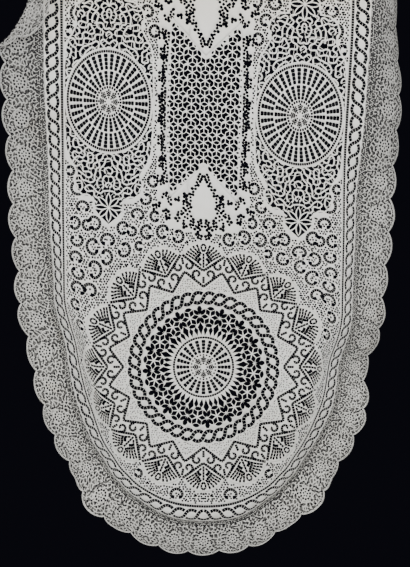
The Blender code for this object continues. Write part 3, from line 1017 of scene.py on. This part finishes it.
def rope_ring(radius, half, count, hand):
    made = []
    for index in range(count):
        along, across = twist_curve(index, half, hand)
        angle = along / count * 2 * math.pi
        made.append(beads(facing(angle) * (radius + across)[:, None], 3.1, 2.94, 3.9))
    return np.concatenate(made)


def rose_holes():
    return [
        small_flower(11.0),
        dotted_ring(12.2, 24, 1.7, 1.6),
        ladder(ROSE_SLOTS, 14.2, 27.2, 3.9, 3, 0.2),
        dotted_ring(29.6, 76, 2.25, 2.2),
        *bent_cell_holes(),
    ]


# %% Star holes
INNER_ZIGZAG = (80.4, 96.7)
INNER_CORNER, OUTER_CORNER = 96, 114
OUTER_ZIGZAG = (96.0, 114.2)


def star_reach(turn):
    """How far the star's rim lies from its middle, that many radians round."""
    return STAR_CUSP + (STAR_LOBE - STAR_CUSP) * lobed(turn * STAR_POINTS / 2)


def star_outline():
    angle = around(STAR_POINTS * 12)
    return facing(angle) * star_reach(angle)[:, None]


def scroll(middle, size, turn, hand):
    """A curve that starts wide and curls in."""
    way = np.linspace(0, 1, 31)
    angle = turn + hand * np.radians(320) * way
    return middle + facing(angle) * (size * (1 - 0.6 * way**1.5))[:, None]


def zigzag(inner, outer):
    """The line round the star, from notch to tip, with straight sides."""
    corner = np.arange(2 * STAR_POINTS)
    return facing(corner * math.pi / STAR_POINTS) * np.where(corner % 2, outer, inner)[:, None]


def zigzag_line(line):
    return beads(zigzag(*line), 2.5, 2.34, 2.8, True)


def point_motif(angle):
    """Scrolls and dashes between the two zigzags, at one tip and one notch."""
    tip, notch = angle + math.pi / STAR_POINTS, angle
    made = []
    for turn, radius, spread, size, way in ((tip, 102.0, 5.2, 4.3, 1), (notch, 92.6, 6.6, 4.3, -1)):
        out = facing(np.array(turn))
        side = crossing(out)
        for hand in (-1, 1):
            middle = out * radius + side * hand * spread
            start = turn + (0 if way > 0 else math.pi) + hand * way * 0.5
            made.append(beads(scroll(middle, size, start, hand * way), 2.2, 2.1, 2.7))
    for turn, dash in ((tip, (103.6, 110.6)), (notch, (83.6, 90.4))):
        made.append(beads(np.array([facing(np.array(turn)) * radius for radius in dash]), 2.2, 2.1, 2.5))
    return made


# Each point is a share of the way round to the lobe's corner, and of the way out from the zigzag to the rim.
PALM = (
    ((0, 0.03), (0, 0.6)),
    ((0, 0.66), (0.08, 0.72), (0.11, 0.82), (0.07, 0.93), (0, 0.96)),
    ((0.1, 0.05), (0.3, 0.09), (0.5, 0.12), (0.68, 0.18), (0.8, 0.35)),
    ((0.17, 0.19), (0.3, 0.22), (0.46, 0.36), (0.62, 0.48), (0.72, 0.74)),
    ((0.1, 0.29), (0.26, 0.35), (0.38, 0.52), (0.52, 0.64), (0.58, 0.88)),
    ((0.15, 0.43), (0.22, 0.49), (0.31, 0.67), (0.41, 0.79), (0.44, 0.96)),
    ((0.1, 0.53), (0.18, 0.62), (0.23, 0.81), (0.29, 0.96)),
)


def palm_holes():
    """Branches of short slots that fan out from a stem, alike on both sides of a lobe that points along u."""
    made = []
    for branch in PALM:
        points, travelled = measured(np.array(branch, float))
        aside, out = walked(points, travelled, np.linspace(0, travelled[-1], 24)).T
        low = INNER_CORNER + (OUTER_CORNER - INNER_CORNER) * aside + 2.2
        high = star_reach(aside * math.pi / STAR_POINTS) / SQUARE - 1.6
        for hand in (1, -1) if aside.any() else (1,):
            line = facing(hand * aside * math.pi / STAR_POINTS) * (low + (high - low) * out)[:, None]
            made.append(beads(line, 3.2, 3.0, 2.15))
    return np.concatenate(made)


def star_holes():
    made = [rope_ring(69.3, 5.3, 40, -1), zigzag_line(INNER_ZIGZAG), zigzag_line(OUTER_ZIGZAG)]
    palm = palm_holes()
    specks = lattice(np.arange(-90, 91, 2.4), np.arange(-90, 91, 2.4))
    specks = specks + np.random.default_rng(4).normal(0, 0.5, specks.shape)
    far = np.linalg.norm(specks, axis=1)
    specks = specks[(far > 77) & (far < 91) & inside(specks, grown(zigzag(*INNER_ZIGZAG), -2.6))]
    made.append(ovals(specks, 1.6, 1.3, 0.4, 4))
    for angle in around(STAR_POINTS):
        made += point_motif(angle)
        made.append(palm @ np.stack([facing(angle), crossing(facing(angle))]))
    return made


for name, end in (("lower", -1), ("upper", 1)):
    middle = np.array([0, end * STAR_ALONG])
    flip = np.array([1, -end])
    # the braided ring lies in the star's own cloth, and the net in the rose
    cuts = [group * SQUARE * flip + middle for group in rose_holes()]
    flat, triangles = pierced(RIM * (ROSE_RADIUS - SEAM_GAP / 2) + middle, [], cuts)
    cloth_piece("rose_lace_" + name, flat, triangles, "rose_" + name, "rose_lace")
    cuts = [group * SQUARE * flip + middle for group in star_holes()]
    inset = RIM * (ROSE_RADIUS + SEAM_GAP / 2) + middle
    flat, triangles = pierced(grown(star_outline() + middle, -SEAM_GAP / 2), [inset], cuts)
    cloth_piece("star_lace_" + name, flat, triangles, "star_" + name, "star_linen")

# %% [markdown]
# ## The winding tape round the wheels
# Above and below each wheel a narrow tape winds about like a maze, tied to itself by fine bars. Such
# a tape never crosses itself. The level line of a rippled surface has the same habit, so we grow a
# surface of stripes that is the same on both sides of the wheel's axis, and lay the tape on its line.

# %% Grow the stripes
WIND = 4.3
TAPE, FINE_TAPE, BAR = 1.5, 1.2, 0.36
LILY_ALONG = 104.5
CARTOUCHE = (
    # squares beside the wheel's axis and from its middle, for one quarter
    (44.6, 0), (44.2, 30), (43.2, 45), (41, 55), (36, 62), (31.5, 71), (34.5, 80), (32.5, 88), (24.5, 94.5),
    (15.5, 95.5), (14.5, 99), (14.6, 107), (9, 114), (0, 121.5),
)


# %% Strips of tape, and bars between them


def strips(points, width):
    """Square-ended pieces of tape between each two points of a line, mitred where they meet."""
    steps = np.diff(points, axis=0)
    steps /= np.maximum(np.linalg.norm(steps, axis=1), 1e-9)[:, None]
    ends = np.concatenate([steps[:1], steps[:-1] + steps[1:], steps[-1:]])
    ends /= np.maximum(np.linalg.norm(ends, axis=1), 1e-9)[:, None]
    side = crossing(ends) * width / 2
    left, right = points + side, points - side
    return np.stack([right[:-1], right[1:], left[1:], left[:-1]], 1)


def closed_strips(loop, width):
    return strips(np.concatenate([loop, loop[:1]]), width)


def quarter_outline(quarter):
    quarter = np.array(quarter, float)
    half = np.concatenate([quarter, quarter[::-1][1:] * (-1, 1)])
    return np.concatenate([half, half[::-1][1:-1] * (1, -1)])


def winding_tape():
    """The tape, its bars and the frame that they hang in, round a wheel, in squares from its middle."""
    width, height, seed, rounds = 96, 220, 49, 3
    sheet = striped_surface(width, height, 2 * WIND, seed, rounds)
    shift = np.array([(width - 1) / 2, (height - 1) / 2])
    frame_line = quarter_outline(CARTOUCHE)
    wheel_line = facing(around(120)) * (WHEEL_HALF_WIDTH / SQUARE, WHEEL_HALF_HEIGHT / SQUARE)

    def between_frames(points, margin):
        kept = inside(points, grown(frame_line, -margin))
        from_lily = points - np.where(points[:, 1:] > 0, (0, LILY_ALONG), (0, -LILY_ALONG))
        return kept & ~inside(points, wheel_line * (1 + margin / 46)) & (np.linalg.norm(from_lily, axis=1) > 12.5)

    made = [closed_strips(frame_line, TAPE), closed_strips(wheel_line * 1.014, FINE_TAPE)]
    for end in (-1, 1):
        # a flower of outlined petals hangs below the maze, and its tips hold on to the frame
        made += [closed_strips(petal + (0, end * LILY_ALONG), FINE_TAPE) for petal in spokes(8, 0.6, 14.4, 4.6)]
    bars = []
    for line in level_lines(sheet):
        line = line - shift
        smooth = line.copy()
        for _ in range(2):
            smooth[1:-1] = (smooth[:-2] + 2 * smooth[1:-1] + smooth[2:]) / 4
        points = paced(smooth, 1.3)[0]
        kept = between_frames(points, 0.2)
        breaks = np.flatnonzero(np.diff(kept.astype(int))) + 1
        for run, fits in zip(np.split(points, breaks), np.split(kept, breaks)):
            if fits[0] and len(run) > 1:
                made.append(strips(run, TAPE))
        points, heading = paced(smooth, 2.5)
        for side in (-1, 1):
            away = crossing(facing(heading)) * side
            far = np.arange(1.2, 9.0, 0.3)
            path = points[:, None] + away[:, None] * far[:, None]
            height_there = read_between(sheet, path[..., 0] + shift[0], path[..., 1] + shift[1])
            start_sign = np.sign(height_there[:, :1])
            open_way = between_frames(path.reshape(-1, 2), 0.4).reshape(path.shape[:2])
            stops = (np.sign(height_there) != start_sign) | ~open_way
            first = np.argmax(stops, axis=1)
            fits = stops.any(1) & between_frames(points, 0.3) & (first > 0)
            for k in np.flatnonzero(fits):
                bars.append((points[k], path[k, first[k]]))
    bars.sort(key=lambda bar: float(np.linalg.norm(bar[1] - bar[0])))
    middles = []
    for start, end in bars:
        middle = (start + end) / 2
        if all(abs(middle[0] - m[0]) + abs(middle[1] - m[1]) > 3.8 for m in middles):
            middles.append(middle)
            made.append(strips(np.array([start, end]), BAR))
    return np.concatenate(made)


winding = winding_tape() * SQUARE
print("tape pieces round each wheel:", len(winding))
TAPES = {side: triangulated(list(winding + wheel_middle(side)), [], lambda loop: len(loop) > 0) for side in (-1, 1)}

# %% [markdown]
# ## The ground
# All that is left of the field is one sheet of linen, sprinkled with dots on a close three-way grid
# and set with C-shaped scrolls of larger dots. A dot is left out where a scroll, a plain strip or a
# drop of plain linen is. The scrolls are charted for one quarter and reflected.

# %% What is charted in one quarter of the ground
SCROLLS = (
    # squares across, squares along, radius, and where it opens: 0 to the middle line, 90 to the end
    (134, 67, 5, 180), (126, 84, 7, -20), (121, 103, 6.5, 90), (130, 119, 6.5, 180),
    (116, 120, 5.5, -20), (110, 118, 7, 165), (127, 135, 6.5, -100), (110, 140, 7.5, -5),
    (96, 134, 7, 90), (98, 149, 7, 180), (128, 153, 6.5, 90), (110, 161, 8, 170), (126, 166, 6.5, -90),
    (126, 182, 7, 90), (114, 180, 6.5, 120), (66, 107, 6.5, 100), (80, 121, 6.5, 20),
    (72, 123, 5, -135), (80, 141, 7, -150), (64, 137, 4.5, 0), (56, 123, 7, 0), (40, 122, 7, 20),
    (26, 125, 6.5, -160), (50, 72, 6, -10), (58, 90, 6, -140), (48, 107, 5.5, 0), (128, 198, 5.5, 0),
    (124, 217, 5, 0), (27, 382, 6.5, 90), (66, 361, 4.5, -150),
)


def c_scroll(across, along, radius, opening):
    """Larger dots round three quarters of a circle, hooked in at both ends."""
    radius = radius - 0.6
    way = np.linspace(-1, 1, 41)
    angle = np.radians(opening + 180) + way * math.radians(138)
    size = radius * (1 - 0.42 * np.clip(np.abs(way) - 0.72, 0, 1) / 0.28)
    curve = np.array([across, along]) + facing(angle) * (-1, 1) * size[:, None]
    holes = beads(curve, 2.4, 2.28, 3.15)
    for end in (0, -1):
        middle = holes[end].mean(0)
        holes[end] = middle + (holes[end] - middle) * 1.2
    return holes


def worked_clusters():
    """Irregular gaps beside the net panel and round the plain drop, for one quarter."""
    pick = np.random.default_rng(3)
    made = []
    paths = (
        # how wide a strip the gaps fill, and the way it follows
        (3.4, (40.4, 0), (40.6, 20), (40.0, 40), (38.8, 60), (37.8, 74)),
        (3.0, (43.4, 2), (43.6, 16)),
        (3.0, (43.6, 27), (43.6, 36)),
        (3.0, (42.6, 48), (42.6, 58)),
        (2.6, (41.8, 66), (41.2, 76)),
        (1.0, (46.0, 66), (45.6, 74)),
        (3.2, (2.2, 62), (5, 68.5), (9, 75.5), (12.4, 83)),
        (6.6, (15.8, 82), (16.4, 92), (16.4, 100), (14.6, 108)),
        (3.2, (28.0, 88.5), (22.6, 86.5)),
        (3.0, (42, 86), (38.5, 83.6), (33.8, 88.5), (33.4, 95)),
        (5.0, (50, 99.5), (46, 96), (42.6, 92)),
        (4.6, (38.6, 100), (36.2, 104), (36.6, 109)),
        (3.2, (23, 99.5), (24, 104), (27.4, 109)),
        (4.6, (12.4, 108), (10.4, 113), (9.4, 119)),
        (3.6, (7.0, 121), (3.6, 124), (0.8, 124.5)),
        (3.0, (4.4, 108), (3.0, 113), (4.6, 117)),
        (3.0, (19.6, 109), (17.6, 113.5), (19.4, 117)),
    )
    for band, *path in paths:
        points, heading = paced(path, 0.25)
        points = points + crossing(facing(heading)) * pick.uniform(-0.6, 0.6, len(points))[:, None] * band
        points = points[spaced(points, range(len(points)), 2.75)]
        across = pick.uniform(2.7, 3.9, len(points))
        made.append(ovals(points, across * 1.1, across, pick.uniform(0, 3, len(points)), 6))
    return np.concatenate(made)


# %% Cut the ground
def quarter_copies(holes):
    """The holes of one quarter of the cloth, and their reflections."""
    return np.concatenate([holes * flip for flip in ((1, 1), (-1, 1), (1, -1), (-1, -1))])


def dotted(points):
    """True where the ground is dotted, for points in squares."""
    u, v = np.abs(points).T
    out = place_on_edge(points * SQUARE)[1] / SQUARE
    keep = (out < -1.6) & ~((u < 47) & (v < 104)) & ~((u < 38) & (v < 123 - 0.2 * u))
    wheel = np.stack([u - WHEEL_ACROSS / SQUARE, v], 1)
    keep &= ~inside(wheel, grown(quarter_outline(CARTOUCHE), 1.4))
    away = np.stack([u, v - STAR_ALONG / SQUARE], 1)
    turn = np.arctan2(away[:, 1], away[:, 0])
    keep &= np.linalg.norm(away, axis=1) * SQUARE > star_reach(turn) + 1.2 * SQUARE
    return keep


quarter = [*(c_scroll(*row) for row in SCROLLS), worked_clusters()]
DOT_PITCH = 2.75
DOT_ROW = 0.866  # of the pitch, from row to row
rows = np.arange(0, 395 / (DOT_PITCH * DOT_ROW))
across = np.arange(-60, 61) * DOT_PITCH
row_of = [(across + (row % 2) * DOT_PITCH / 2, np.full(len(across), row * DOT_PITCH * DOT_ROW)) for row in rows]
dots = np.concatenate([np.stack(row, 1) for row in row_of])
dots = dots + np.random.default_rng(11).normal(0, 0.32, dots.shape)
dots = dots[dots[:, 0] > 0]
dots = dots[dotted(dots)]
mark_points = np.concatenate([group.mean(1) for group in quarter])
dots = dots[distance_to(dots, mark_points) > 2.9]
size = 2.65 + np.random.default_rng(12).uniform(-0.25, 0.25, len(dots))
dot_holes = ovals(dots, size, size, 0.3, 4)
print("dots in a quarter:", len(dots))

insets = [grown(panel_outline(), SEAM_GAP / 2)]
for side in (-1, 1):
    insets.append(quarter_outline(CARTOUCHE) * SQUARE + wheel_middle(side))
    insets.append(grown(star_outline() + (0, side * STAR_ALONG), SEAM_GAP / 2))
cuts = [quarter_copies(group) * SQUARE for group in [*quarter, dot_holes]]
flat, triangles = pierced(ring(-SEAM_GAP / 2, 12), insets, cuts, 0.016)
# the tape hangs in the ground's own openings, so each half of the ground keeps its tape
middle_of = flat[triangles].mean(1)
along = np.abs(middle_of[:, 1]) / SQUARE
split = np.where((along > 50) & (along < 118), -15.5 * SQUARE, 0)
for name, side in (("left", -1), ("right", 1)):
    tape, tape_triangles = TAPES[side]
    half = triangles[(middle_of[:, 0] > split) == (side > 0)]
    size = (FIELD_HALF_WIDTH, 2 * (FIELD_STRAIGHT + FIELD_END))
    points = np.concatenate([flat, tape])
    every = np.concatenate([half, tape_triangles + len(flat)])
    cloth_piece("ground_" + name, points, every, "field", "field_linen", size)

# %% [markdown]
# ## The scalloped border
# The border is the sheerest part: an irregular mesh with a small flower in every scallop, veins that
# run in from the notches, and a close dotted strip along the braid. One scallop is charted and
# repeated. For the mesh we grow stripes again, finer, and put a hole wherever they dip lowest.

# %% One scallop of the border
BORDER_STEPS = 34
MESH_WAVE = 4.3
MESH_HEIGHT = 48
MESH_SEED = 21
FLOWER_IN = 20.0  # squares from the hem line to a flower's middle
FLOWER_CLEAR = 7.6


def hem_out(scallop):
    return HEM - SCALLOP_DEPTH * (1 - lobed(math.pi * scallop))


def worked_share(flat):
    """1 where the border is open mesh, 0 on its hem and round the flower in each scallop."""
    scallop, out = place_on_edge(flat)
    flower = np.hypot((scallop - np.round(scallop)) * BORDER_STEPS, (HEM - out) / SQUARE - FLOWER_IN)
    return np.where((hem_out(scallop) - out < 1.7 * SQUARE) | (flower < FLOWER_CLEAR), 0.0, 1.0)


def scallop_chart():
    """Centre, length, width and heading of each hole of one scallop, in squares across it and out from the field."""
    wide, low, high = BORDER_STEPS, BRAID_WIDTH / SQUARE, HEM / SQUARE
    chart = winding_holes(wide, MESH_HEIGHT, MESH_WAVE, MESH_SEED, 2.6, 0.2) + (0, low, 0)
    edge = hem_out(chart[:, 0] / wide - 0.5) / SQUARE
    middle = np.array([wide / 2, high - FLOWER_IN])
    veins = []
    for hand in (-1, 1):
        way = np.linspace(0, 1, 30)
        across = wide / 2 + hand * (wide / 2 - 11 * way**0.8)
        veins.append(np.stack([across, high - 7.5 - 13 * way + 5 * np.sin(math.pi * way)], 1))
        across = wide / 2 + hand * (wide / 2 - 6 * way)
        veins.append(np.stack([across, high - 9 - 22 * way - 2 * np.sin(math.pi * way)], 1))
    keep = (chart[:, 1] < edge - 3.9) & (chart[:, 1] > low + 8.5)
    keep &= distance_to(chart[:, :2], np.concatenate(veins)) > 1.4
    keep &= np.linalg.norm(chart[:, :2] - middle, axis=1) > FLOWER_CLEAR
    rows = [(u, v, 2.9, 2.5, turn) for u, v, turn in chart[keep]]
    for turn in around(11):
        rows.append((*(middle + facing(turn) * 5.5), 3.0, 2.9, turn))
    for turn in (np.arange(5) + 0.4) / 5 * 2 * math.pi:
        rows.append((*(middle + facing(turn) * 2.3), 2.5, 2.1, turn))
    for row in range(4):
        for k in range(15):
            rows.append(((k + row % 2 / 2) * wide / 15, low + 1.9 + row * 2.0, 2.0, 2.0, 0.0))
    for k in range(16):
        at = (k + 0.5) / 16 * wide
        rows.append((at, float(hem_out(at / wide - 0.5)) / SQUARE - 2.7, 2.2, 1.6, 0.0))
    return np.array(rows)


def border_holes():
    chart = scallop_chart()
    print("holes in a scallop:", len(chart))
    repeat = np.arange(SCALLOPS)[:, None] + chart[None, :, 0] / BORDER_STEPS - 0.5
    out = np.broadcast_to(chart[:, 1] * SQUARE, repeat.shape)
    centres = beside_edge(repeat.ravel(), out.ravel())
    way = looped(OUTWARD, repeat.ravel())
    turn = np.arctan2(way[:, 1], way[:, 0]) - math.pi / 2
    # a hole's place and heading follow the cloth; its size stays as charted, though the cloth is narrower inside the
    # curve of the foot
    length, width, heading = (np.tile(chart[:, k], SCALLOPS) for k in (2, 3, 4))
    return [ovals(centres, length * SQUARE, width * SQUARE, heading + turn, 4)]


scallop_steps = np.arange(SCALLOPS * 24) / 24
hem_line = beside_edge(scallop_steps, hem_out(scallop_steps))
flat, triangles = pierced(hem_line, [ring(BRAID_WIDTH + SEAM_GAP / 2, 8)], border_holes(), 0.012, 0.004)
middle_of = flat[triangles].mean(1)
for name, chosen in (("left", middle_of[:, 0] < 0), ("right", middle_of[:, 0] >= 0)):
    size = (BORDER_WIDTH, 4.5)
    cloth_piece("border_lace_" + name, flat, triangles[chosen], "border", "border_lace", size, 0.0010, True)

# %% Sizes for the record, and the end
triangles_made = 0
depsgraph = bpy.context.evaluated_depsgraph_get()
for piece in MADE:
    thick = piece.evaluated_get(depsgraph)
    thick.data.calc_loop_triangles()
    triangles_made += len(thick.data.loop_triangles)
    print(piece.name, len(thick.data.loop_triangles))
print("triangles in all:", triangles_made)
